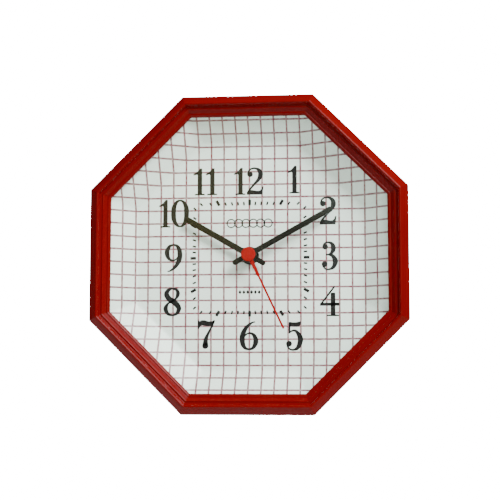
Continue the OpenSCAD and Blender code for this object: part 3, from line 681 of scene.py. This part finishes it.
digits = {  # strokes are (x, y, width) places, plates are outlines, balls are (x, y, radius)
    "1": {
        "wide": 8.8,
        "plates": [
            [(3.5, 0.4), (3.5, 16.2), (3.1, 17.3), (2.0, 17.1), (0.3, 16.6), (0.0, 17.2),
             (1.9, 18.3), (3.5, 19.6), (4.8, 21.3), (5.2, 21.9), (6.5, 21.9), (6.6, 21.5),
             (6.6, 0.4)],
            [(1.2, 0), (8.7, 0), (8.7, 0.6), (7.0, 0.8), (3.0, 0.8), (1.2, 0.6)],
        ],
    },
    "2": {
        "wide": 13.2,
        "balls": [(2.7, 16.6, 2.0)],
        "strokes": [
            [(1.0, 16.8, 0.8), (1.9, 19.6, 0.9), (4.0, 21.3, 0.9), (7.0, 21.5, 1.2),
             (10.0, 19.6, 2.6), (10.9, 16.2, 3.5), (9.4, 12.4, 2.4), (6.0, 8.4, 1.4),
             (2.4, 3.9, 1.1), (0.9, 1.6, 0.9)],
        ],
        "plates": [
            [(0.4, 0), (0.4, 1.4), (1.6, 3.0), (3.4, 3.5), (5.6, 3.2), (8.0, 2.7), (10.2, 2.8),
             (11.6, 4.0), (12.3, 6.2), (13.0, 6.2), (12.4, 2.4), (12.2, 0)],
        ],
    },
    "3": {
        "wide": 12.9,
        "balls": [(3.1, 18.4, 2.0), (2.6, 4.6, 2.1)],
        "strokes": [
            [(1.4, 18.6, 0.8), (2.6, 21.0, 0.9), (5.2, 21.9, 1.0), (8.2, 20.8, 2.2),
             (9.5, 17.4, 3.4), (8.4, 14.0, 2.3), (6.2, 12.3, 1.1), (3.6, 12.0, 0.7)],
            [(5.4, 12.2, 0.9), (8.8, 11.0, 2.3), (10.9, 7.0, 3.7), (9.5, 2.4, 2.4), (6.2, 0.4, 1.1),
             (3.2, 0.8, 0.9), (1.1, 3.4, 0.8)],
        ],
    },
    "4": {
        "wide": 14.8,
        "strokes": [
            [(11.2, 23.0, 0.5), (10.4, 22.0, 0.9), (0.6, 9.0, 0.9)],
        ],
        "plates": [
            [(8.4, 0.4), (8.4, 17.6), (8.8, 17.9), (11.2, 17.9), (11.5, 17.6), (11.5, 0.4)],
            [(0.0, 8.1), (0.3, 9.9), (1.0, 10.0), (14.6, 10.0), (14.8, 8.1)],
            [(5.4, 0), (14.2, 0), (14.2, 0.6), (12.4, 0.8), (7.4, 0.8), (5.4, 0.6)],
        ],
    },
    "5": {
        "wide": 12.8,
        "balls": [(2.1, 5.2, 2.0)],
        "strokes": [
            [(2.7, 21.2, 0.8), (2.35, 13.0, 0.8)],
            [(2.3, 13.2, 0.7), (4.2, 14.9, 0.9), (7.6, 14.6, 1.7), (10.8, 9.0, 3.7),
             (9.0, 2.6, 2.6), (5.6, 0.6, 1.1), (2.4, 1.3, 0.9), (0.7, 3.9, 0.9)],
        ],
        "plates": [
            [(2.3, 21.6), (4.2, 21.3), (7.0, 21.2), (9.4, 21.6), (11.0, 22.0), (11.0, 20.2),
             (9.8, 18.6), (7.8, 18.1), (5.0, 18.5), (2.3, 18.5)],
        ],
    },
    "6": {
        "wide": 14.6,
        "strokes": [
            [(12.2, 21.7, 0.5), (9.6, 21.0, 1.0), (5.4, 17.6, 2.4), (2.3, 11.8, 3.6),
             (2.2, 6.0, 3.5), (4.0, 2.0, 2.2), (7.3, 0.5, 0.9)],
            [(7.3, 0.5, 0.9), (10.8, 2.2, 2.2), (12.7, 6.8, 3.6), (11.2, 11.4, 2.3),
             (8.0, 13.1, 1.1), (5.0, 12.0, 0.8), (3.4, 10.0, 0.7)],
        ],
    },
    "7": {
        "wide": 13.4,
        "balls": [(6.1, 2.1, 2.15)],
        "strokes": [
            [(12.9, 21.4, 0.7), (11.2, 17.6, 1.0), (8.6, 12.4, 1.4), (6.6, 7.6, 2.6),
             (6.1, 2.4, 3.9)],
        ],
        "plates": [
            [(0.5, 15.6), (1.1, 15.6), (2.0, 17.6), (3.6, 18.4), (6.0, 18.0), (8.6, 17.6),
             (10.8, 17.9), (12.6, 20.2), (13.2, 21.8), (12.6, 21.8), (11.2, 21.0), (8.4, 20.9),
             (5.4, 21.9), (3.2, 21.9), (1.6, 20.9), (1.1, 21.6), (0.5, 21.6)],
        ],
    },
    "8": {
        "wide": 14.0,
        "strokes": [
            [(7.2, 21.4, 0.9), (4.2, 20.0, 2.2), (2.9, 16.8, 3.1), (5.0, 13.2, 3.6),
             (9.2, 10.0, 3.7), (11.7, 6.0, 3.0), (10.2, 2.0, 1.9), (7.0, 0.5, 0.9)],
            [(7.2, 21.4, 0.9), (10.2, 20.0, 1.8), (11.0, 17.0, 2.3), (9.6, 13.6, 1.3),
             (6.8, 11.6, 0.9), (3.8, 9.4, 1.3), (2.3, 5.6, 2.8), (4.0, 1.8, 1.9), (7.0, 0.5, 0.9)],
        ],
    },
    "0": {
        "wide": 13.9,
        "strokes": [
            [(6.95, 21.5, 0.9), (4.4, 20.3, 1.8), (2.2, 16.2, 3.2), (1.75, 11.0, 3.5),
             (2.2, 5.8, 3.2), (4.4, 1.6, 1.8), (6.95, 0.4, 0.9)],
            [(6.95, 21.5, 0.9), (9.5, 20.3, 1.8), (11.7, 16.2, 3.2), (12.15, 11.0, 3.5),
             (11.7, 5.8, 3.2), (9.5, 1.6, 1.8), (6.95, 0.4, 0.9)],
        ],
    },
}


def swell(outline, by):  # a bolder copy of an outline
    turns = sum(a[0] * b[1] - b[0] * a[1] for a, b in zip(outline, outline[1:] + outline[:1]))
    side = by if turns > 0 else -by
    moved = []
    for before, here, after in zip(outline[-1:] + outline[:-1], outline, outline[1:] + outline[:1]):
        first = (Vector(here) - Vector(before)).normalized()
        second = (Vector(after) - Vector(here)).normalized()
        out = Vector((first.y + second.y, -first.x - second.x))
        reach = side / max(out.length / 2, 0.6)
        out = out.normalized() * reach if out.length > 1e-6 else Vector((0, 0))
        moved.append((here[0] + out.x, here[1] + out.y))
    return moved


def buildDigit(drawing, low, thick, weight):
    outlines = [strokeOutline([(x, y, w + 2 * weight) for x, y, w in path])
                for path in drawing.get("strokes", [])]
    outlines += [swell(outline, weight) for outline in drawing.get("plates", [])]
    outlines += [circleOutline(r + weight, 28, x, y) for x, y, r in drawing.get("balls", [])]
    return joinAll([drawPlate([outline], low, thick) for outline in outlines])


def fitPrint(thing, x, y, wide, tall):  # stretches a flat drawing to a width and height about a middle
    lows = [min(corner[k] for corner in thing.bound_box) for k in (0, 1)]
    highs = [max(corner[k] for corner in thing.bound_box) for k in (0, 1)]
    across = wide * mm / (highs[0] - lows[0])
    up = tall * mm / (highs[1] - lows[1])
    thing.scale = (across, up, 1)
    thing.location = (x * mm - across * (lows[0] + highs[0]) / 2, y * mm - up * (lows[1] + highs[1]) / 2, 0)
    return applyPlace(thing)


def buildNumerals(look, low):
    patterns = {}
    for name, drawing in digits.items():
        patterns[name] = buildDigit(drawing, low, printing["height"], look["weight"])
    nine = copyOf(patterns["6"])
    nine.rotation_euler = (0, 0, math.pi)
    patterns["9"] = applyPlace(nine)
    right, up = printing["offset"]
    placed = []
    for text, (x, y, wide, tall) in look["places"].items():
        row = []
        at = 0
        for character in text:
            one = copyOf(patterns[character])
            one.location = (at * mm, 0, 0)
            row.append(applyPlace(one))
            if len(text) > 1:
                at += digits[character]["wide"] + look["gap"]
        placed.append(fitPrint(joinAll(row), x + right, y + up, wide, tall))
    for pattern in patterns.values():
        bpy.data.objects.remove(pattern)
    thing = standUp(joinAll(placed))
    return finishPiece(thing, "dialNumerals", inkFinish, "case", "black_metal")


minuteTrack = {
    "halfWide": 42.2, "halfTall": 41.3, "minuteLength": 2.8, "minuteWidth": 1.3,
    "hourLength": 4.5, "hourWidth": 2.2,
}


def buildTrack(look, low):
    clearSelection()
    bpy.ops.mesh.primitive_cube_add(size=mm, location=(0, 0, 0))
    thing = bpy.context.object
    bpy.ops.object.mode_set(mode="EDIT")
    bpy.ops.mesh.select_all(action="SELECT")
    bpy.ops.mesh.delete(type="VERT")
    right, up = printing["offset"]
    for minute in range(60):
        a = math.radians(6 * minute)
        kind = "hour" if minute % 5 == 0 else "minute"
        long, wide = look[kind + "Length"], look[kind + "Width"]
        reach = 1 / max(abs(math.sin(a)) / look["halfWide"], abs(math.cos(a)) / look["halfTall"])
        middle = reach + long / 2
        place = (middle * math.sin(a) + right, middle * math.cos(a) + up, low + printing["height"] / 2)
        bpy.ops.mesh.primitive_cube_add(
            size=mm, location=[v * mm for v in place], rotation=(0, 0, -a),
            scale=(wide, long, printing["height"]))
    bpy.ops.object.mode_set(mode="OBJECT")
    standUp(thing)
    return finishPiece(thing, "dialTrack", inkFinish, "case", "black_metal")


ornaments = {
    "ringsAt": 27.1, "rings": 6, "ringRadius": 3.6, "ringStep": 5.8, "ringLine": 0.85,
    "beadsAt": -26.8, "beads": 6, "beadStep": 3.0, "beadWide": 2.5, "beadTall": 3.2,
}


def buildOrnaments(look, low):
    radius, thick = look["ringRadius"], printing["height"]
    halfWide, halfTall = look["beadWide"] / 2, look["beadTall"] / 2
    ring = drawPlate([circleOutline(radius, 40), circleOutline(radius - look["ringLine"], 40)], low, thick)
    bead = drawPlate([[(-halfWide, 0), (0, halfTall), (halfWide, 0), (0, -halfTall)]], low, thick)
    right, up = printing["offset"]
    made = []
    for pattern, count, step, height in ((ring, look["rings"], look["ringStep"], look["ringsAt"]),
                                         (bead, look["beads"], look["beadStep"], look["beadsAt"])):
        for i in range(count):
            one = copyOf(pattern)
            one.location = (((i - (count - 1) / 2) * step + right) * mm, (height + up) * mm, 0)
            made.append(applyPlace(one))
        bpy.data.objects.remove(pattern)
    thing = standUp(joinAll(made))
    return finishPiece(thing, "dialOrnaments", inkFinish, "case", "black_metal")


dialFront = -boxOf("dial")[1][1] + dialShape["sheet"]
inkLow = dialFront + printing["standOff"]
buildNumerals(numerals, inkLow)
buildTrack(minuteTrack, inkLow)
buildOrnaments(ornaments, inkLow)
print("printing made")


# hands

hands = {
    "hub": 5.8, "tail": 14.2, "tailWidth": 3.9, "tip": 0.5, "edge": 0.13,
    "hour": {"node": "hour_hand", "length": 57.5, "width": 4.6, "angle": 300.0, "hole": 3.0},
    "minute": {"node": "minute_hand", "length": 72.8, "width": 4.2, "angle": 61.2, "hole": 1.6},
    "second": {
        "length": 63.3, "stem": 3.0, "stemStart": 3.0, "stemEnd": 2.3, "stemLength": 18.0, "neck": 0.8,
        "needle": 1.5, "point": 0.4, "pointHalf": 0.3, "angle": 154.7, "hole": 1.4, "eye": 3.4, "eyeOpen": 28,
        "bossGap": 0.02, "bossCore": 1.0, "bossFoot": 0.15, "bossEdge": 0.5, "bossDrop": 0.2},
}


def sweep(radius, fromDegrees, toDegrees, count, y=0):  # part of a circle, clockwise from the top
    turns = [math.radians(fromDegrees + (toDegrees - fromDegrees) * i / count) for i in range(count + 1)]
    return [(radius * math.sin(a), y + radius * math.cos(a)) for a in turns]


def turnHand(thing, degrees):
    thing.rotation_euler = (0, 0, -math.radians(degrees))
    return standUp(applyPlace(thing))


def buildBaton(look, hand, name):
    low, high = boxOf(hand["node"])
    back, front = -high[1], -low[1]
    half, tailHalf, tip = hand["width"] / 2, look["tailWidth"] / 2, look["tip"]
    rootAngle = math.degrees(math.asin(half / look["hub"]))
    tailAngle = 180 - math.degrees(math.asin(tailHalf / look["hub"]))
    length = hand["length"]
    outline = [(-half, length - tip), (-half + tip, length), (half - tip, length), (half, length - tip)]
    outline += sweep(look["hub"], rootAngle, tailAngle, 16)
    outline += sweep(tailHalf, 90, 270, 14, -look["tail"] + tailHalf)
    outline += sweep(look["hub"], 360 - tailAngle, 360 - rootAngle, 16)
    thing = drawPlate([outline, circleOutline(hand["hole"])], back, front - back)
    softenEdges(thing, look["edge"], 2, 50)
    turnHand(thing, hand["angle"])
    shadeSoft(thing, 40)
    return finishPiece(thing, name, handBlack, hand["node"], "black_metal", hand["node"])


def buildSecond(look, hand):
    low, high = boxOf("second_hand")
    back, front = -high[1], -low[1]
    halfNeedle, length = hand["needle"] / 2, hand["length"]
    side = [(hand["stem"] / 2, hand["stemStart"]), (hand["stemEnd"] / 2, hand["stemLength"]),
            (halfNeedle, hand["stemLength"] + hand["neck"]), (halfNeedle, length - hand["point"]),
            (hand["pointHalf"], length)]
    outline = side + [(-x, y) for x, y in side[::-1]]
    outline += sweep(hand["eye"], -hand["eyeOpen"], hand["eyeOpen"] - 360, 24)
    thing = drawPlate([outline, circleOutline(hand["hole"])], back, front - back)
    softenEdges(thing, look["edge"], 2, 50)
    turnHand(thing, hand["angle"])
    shadeSoft(thing, 40)
    finishPiece(thing, "secondNeedle", handRed, "second_hand", "red_metal", "second_hand")
    low, high = boxOf("second_hand_boss")
    radius = (high[0] - low[0]) / 2
    base, top = front + hand["bossGap"], -low[1]
    path = softCorners([
        (hand["bossCore"], base, 0), (radius - hand["bossFoot"], base, 0.2),
        (radius, top - hand["bossDrop"], hand["bossEdge"]), (radius * 0.7, top - 0.05, 0.3), (0.6, top, 0)])
    boss = stackRings(path, 72, "cap")
    standUp(boss)
    shadeSoft(boss, 50)
    return finishPiece(boss, "secondBoss", handRed, "second_hand", "red_metal", "second_hand_boss")


buildBaton(hands, hands["hour"], "hourBaton")
buildBaton(hands, hands["minute"], "minuteBaton")
buildSecond(hands, hands["second"])
print("hands made")


# the cell, the knob and the raised marks behind the dial

cell = {  # the ends hold (inset or radius, depth, cut) places
    "sleeve": (2.0, 38.0), "band": (38.0, 47.0), "wrap": 0.04, "wrapThick": 0.3,
    "dent": (1.0, 1.0, 0), "minusRim": [(1.6, 1.0, 0), (1.4, 0.3, 0), (0.6, 0.0, 0.2)],
    "minusRound": (0.5, 0.4), "plusRound": (1.4, 0.5), "plusShoulder": (1.2, 0.8, 0.3),
    "button": [(2.9, 0.9, 0), (2.7, 0, 0.3), (0.5, 0, 0)],
}


def lieAlong(thing, x, depth, z):  # a shape drawn along its depth, laid along X with its middle at a place
    thing.rotation_euler = (0, math.pi / 2, 0)
    thing.location = (x * mm, -depth * mm, z * mm)
    return applyPlace(thing)


def buildCell(look):
    low, high = boxOf("battery")
    depth, z = -(low[1] + high[1]) / 2, (low[2] + high[2]) / 2
    radius = (high[2] - low[2]) / 2
    start = low[0]
    length = high[0] - start
    skin = radius - look["wrap"]
    minusAt, minusCut = look["minusRound"]
    plusAt, plusCut = look["plusRound"]
    shoulderIn, shoulderAt, shoulderCut = look["plusShoulder"]
    path = [look["dent"]]
    path += [(radius - inset, at, cut) for inset, at, cut in look["minusRim"]]
    path += [(skin, minusAt, minusCut), (skin, length - plusAt, plusCut)]
    path += [(radius - shoulderIn, length - shoulderAt, shoulderCut)]
    path += [(r, length - at, cut) for r, at, cut in look["button"]]
    can = stackRings(softCorners(path, 3), 64, "cap")
    lieAlong(can, start, depth, z)
    shadeSoft(can, 40)
    finishPiece(can, "cellCan", nickelFinish, "case", "cell_jacket", "battery")
    inside = radius - look["wrapThick"]
    for name, finish, (a, b) in (("cellSleeve", sleeveFinish, look["sleeve"]),
                                 ("cellBand", bandFinish, look["band"])):
        tube = stackRings([(radius, a), (radius, b), (inside, b), (inside, a)], 64)
        lieAlong(tube, start, depth, z)
        shadeSoft(tube, 40)
        finishPiece(tube, name, finish, "case", "cell_jacket")


knobShape = {
    "notches": 20, "notchDepth": 0.35, "edge": 0.12, "rimWall": 1.7, "dishWall": 1.6, "dishFloor": 0.7,
    "core": 0.3, "barShort": 1.8, "barHalf": 0.5, "barLift": 0.25, "barThick": 0.6,
}


def buildKnob(look):
    low, high = boxOf("setting_knob")
    x, z = (low[0] + high[0]) / 2, (low[2] + high[2]) / 2
    back, front = -high[1], -low[1]
    radius = (high[0] - low[0]) / 2
    steps = look["notches"] * 4
    outline = []
    for i in range(steps):
        reach = radius - (look["notchDepth"] if i % 4 in (0, 1) else 0)
        a = 2 * math.pi * i / steps
        outline.append((reach * math.cos(a), reach * math.sin(a)))
    rim = drawPlate([outline, circleOutline(radius - look["rimWall"], 40)], back, front - back)
    softenEdges(rim, look["edge"], 2, 40)
    dishRadius = radius - look["dishWall"]
    floor, core = back + look["dishFloor"], look["core"]
    dish = stackRings([(core, floor), (dishRadius, floor), (dishRadius, front), (core, front)], 40, "cap")
    bar = drawPlate([barOutline(0, 0, radius - look["barShort"], look["barHalf"])],
                    back + look["barLift"], look["barThick"])
    knob = joinAll([rim, dish, bar])
    knob.location = (x * mm, z * mm, 0)
    standUp(applyPlace(knob))
    shadeSoft(knob, 40)
    return finishPiece(knob, "settingKnob", caseFinish, "setting_knob", "black_plastic", "setting_knob")


markShape = {
    "thick": 0.12, "line": 0.9, "size": 4.2, "inset": 6.5, "aboveCell": 3.4,
    "arrowRadius": 8.4, "arrowTurns": [(110, 160), (250, 200)], "headHalf": 1.3, "headTurn": 14,
}


def buildMarks(look):  # a plus, a minus and two arrows
    low, high = boxOf("movement_rear_case")
    thick = look["thick"]
    back = -high[1] - thick
    z = boxOf("battery")[1][2] + look["aboveCell"]
    line, size = look["line"] / 2, look["size"] / 2
    plusAt, minusAt = high[0] - look["inset"], low[0] + look["inset"]
    outlines = [barOutline(plusAt, z, size, line), barOutline(plusAt, z, line, size),
                barOutline(minusAt, z, size, line)]
    knobLow, knobHigh = boxOf("setting_knob")
    middle = ((knobLow[0] + knobHigh[0]) / 2, (knobLow[2] + knobHigh[2]) / 2)
    reach, headHalf = look["arrowRadius"], look["headHalf"]
    for first, last in look["arrowTurns"]:
        inner = sweep(reach - line / 2, first, last, 12)
        outer = sweep(reach + line / 2, first, last, 12)
        ahead = last + (look["headTurn"] if last > first else -look["headTurn"])
        corners = ((reach + headHalf, last), (reach, ahead), (reach - headHalf, last))
        head = [sweep(r, a, a, 1)[0] for r, a in corners]
        outlines.append([(a + middle[0], b + middle[1]) for a, b in outer + head + inner[::-1]])
    marks = standUp(joinAll([drawPlate([outline], back, thick) for outline in outlines]))
    return finishPiece(marks, "caseMarks", markFinish, "case", "black_plastic")


buildCell(cell)
buildKnob(knobShape)
buildMarks(markShape)
print("back details made")


# pieces that keep their modelled shape

plainFinishes = {
    "lens": paneFinish, "retaining_clips": zincFinish, "clip_screws": zincFinish,
    "hanger_bracket": steelFinish, "rubber_washer": rubberFinish, "flat_washer": oxideFinish,
    "hex_nut": oxideFinish, "movement_rear_case": caseFinish, "movement_front_case": caseFinish,
    "middle_plate": caseFinish, "positive_contact": nickelFinish, "negative_contact": nickelFinish,
    "circuit_board": boardFinish, "quartz_crystal": nickelFinish, "controller_chip": chipFinish,
    "coil_bobbin": creamFinish, "coil_winding": wireFinish, "stator": laminationFinish,
    "rotor_magnet": magnetFinish, "rotor_pinion": creamFinish, "intermediate_wheel": creamFinish,
    "seconds_wheel": creamFinish, "seconds_arbor": steelFinish, "third_wheel": creamFinish,
    "centre_wheel": creamFinish, "cannon_pinion": brassFinish, "motion_wheel": creamFinish,
    "hour_wheel": creamFinish, "setting_wheel": creamFinish,
}
for name, finish in plainFinishes.items():
    piece = nodes[name]
    piece.data.materials.clear()
    piece.data.materials.append(finish)
print("plain finishes given")


# room: floor, lights and camera

room = {
    "floorDrop": 0.36, "floorColour": (0.86, 0.86, 0.86, 1), "floorRoughness": 0.7,
    "skyStrength": 1.45, "skyCool": (0.9, 0.95, 1.0, 1), "skyWarm": (1.0, 0.84, 0.7, 1), "mirrorDim": 0.97,
    "backdropStrength": 20, "cardStrength": 0.5, "cardFrom": 0.085, "cardSoft": 0.03, "cardTop": (0.3, 0.5),
    "cardAhead": (-0.8, -0.9), "gap": (-0.11, -0.055), "gapSoft": 0.02,
    "leftCard": (0.8, 0.72, 0.2, 1), "rightCard": (0.8, 1.0, 0.9, 1),
    "keyPower": 9, "keyPlace": (0.85, -1.0, 0.95), "keyAim": (0, -0.02, 0), "keySize": 0.8, "keySpread": 50,
    "keyColour": (1.0, 1.0, 1.0),
    "cameraDistance": 0.9, "cameraTurn": 6.0, "cameraRise": -5.5, "aimLift": 0.0045,
    "lens": 83.1, "sensor": 36,
}


def pointAt(thing, target):
    thing.rotation_euler = (Vector(target) - thing.location).to_track_quat("-Z", "Y").to_euler()


def buildFloor(look):
    clearSelection()
    bpy.ops.mesh.primitive_plane_add(size=3, location=(0, 0, cadBounds[0][2] - look["floorDrop"]))
    floor = bpy.context.object
    floor.name = "studioFloor"
    paint = Finish("floorPaint").surface(
        **{"Base Color": look["floorColour"], "Roughness": look["floorRoughness"]})
    floor.data.materials.append(paint)


def buildSky(look):  # the camera sees plain white, and the pane a dim sky with two cards
    world = bpy.data.worlds.new("studioSky")
    sky = Finish("studioSky", world, "Generated")
    x, y, z = sky.split(sky.place)
    warm = sky.ramp(x + z * 0.7, -0.2, 0.9)
    topFrom, topTo = look["cardTop"]
    above = sky.ramp(z, look["cardFrom"] - look["cardSoft"], look["cardFrom"] + look["cardSoft"])
    above = above * sky.ramp(z, topFrom, topTo, 1.0, 0.0)
    ahead = sky.ramp(y, *look["cardAhead"]) * above
    gapFrom, gapTo = look["gap"]
    leftCard = sky.ramp(x, gapFrom, gapFrom + look["gapSoft"], 1.0, 0.0)
    rightCard = sky.ramp(x, gapTo, gapTo + look["gapSoft"])
    cards = ahead * (leftCard + rightCard)
    cardTint = sky.blendColour(rightCard, look["leftCard"], look["rightCard"])
    skyTint = sky.blendColour(warm, look["skyCool"], look["skyWarm"])
    tint = sky.blendColour(cards, skyTint, cardTint)
    mirrored = sky.add("ShaderNodeLightPath", {}, {}, "Is Glossy Ray")
    strength = (1 - mirrored * look["mirrorDim"]) * look["skyStrength"] + cards * look["cardStrength"]
    glow = sky.add("ShaderNodeBackground", {}, {"Color": tint, "Strength": strength})
    white = {"Color": (1, 1, 1, 1), "Strength": look["backdropStrength"]}
    backdrop = sky.add("ShaderNodeBackground", {}, white)
    seen = sky.add("ShaderNodeLightPath", {}, {}, "Is Camera Ray")
    chosen = sky.add("ShaderNodeMixShader", {}, {0: seen, 1: glow, 2: backdrop})
    sky.output(chosen, "ShaderNodeOutputWorld")
    bpy.context.scene.world = world


def buildKeyLight(look):
    clearSelection()
    bpy.ops.object.light_add(type="AREA", location=look["keyPlace"])
    key = bpy.context.object
    key.name = "keyLight"
    key.data.energy = look["keyPower"]
    key.data.size = look["keySize"]
    key.data.spread = math.radians(look["keySpread"])
    key.data.color = look["keyColour"]
    pointAt(key, look["keyAim"])


def buildCamera(look):
    turn = math.radians(look["cameraTurn"])
    rise = math.radians(look["cameraRise"])
    target = Vector((0, -dialFront * mm, 0))
    away = Vector((math.sin(turn) * math.cos(rise), -math.cos(turn) * math.cos(rise), math.sin(rise)))
    clearSelection()
    bpy.ops.object.camera_add(location=target + away * look["cameraDistance"])
    camera = bpy.context.object
    camera.name = "frontCamera"
    camera.data.lens = look["lens"]
    camera.data.sensor_width = look["sensor"]
    pointAt(camera, target + Vector((0, 0, look["aimLift"])))
    bpy.context.scene.camera = camera


buildFloor(room)
buildSky(room)
buildKeyLight(room)
buildCamera(room)
print("room made")

bpy.context.view_layer.update()
